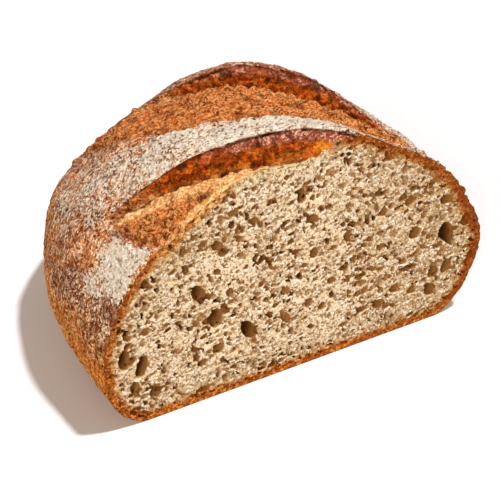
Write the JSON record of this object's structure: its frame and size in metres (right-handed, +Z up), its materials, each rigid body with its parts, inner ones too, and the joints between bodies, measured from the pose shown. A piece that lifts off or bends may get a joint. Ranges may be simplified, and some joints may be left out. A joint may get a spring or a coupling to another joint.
{
  "type": "rye bread loaf",
  "caption": "Half of a domed, flat-bottomed rye loaf with slanting slashes across its crust, cut straight through to show the crumb.",
  "frame": {"origin": "centre of the footprint box, on the surface that the loaf stands on", "axes": "+Z up, +X across the cut face, and the cut face looks along -Y"},
  "size_m": [0.1656, 0.1186, 0.1081],
  "materials": {
    "crust": "baked, floury, matte",
    "crumb": "open porous crumb, matte"
  },
  "bodies": {
    "root": {"loaf": "crust"}
  },
  "joints": []
}
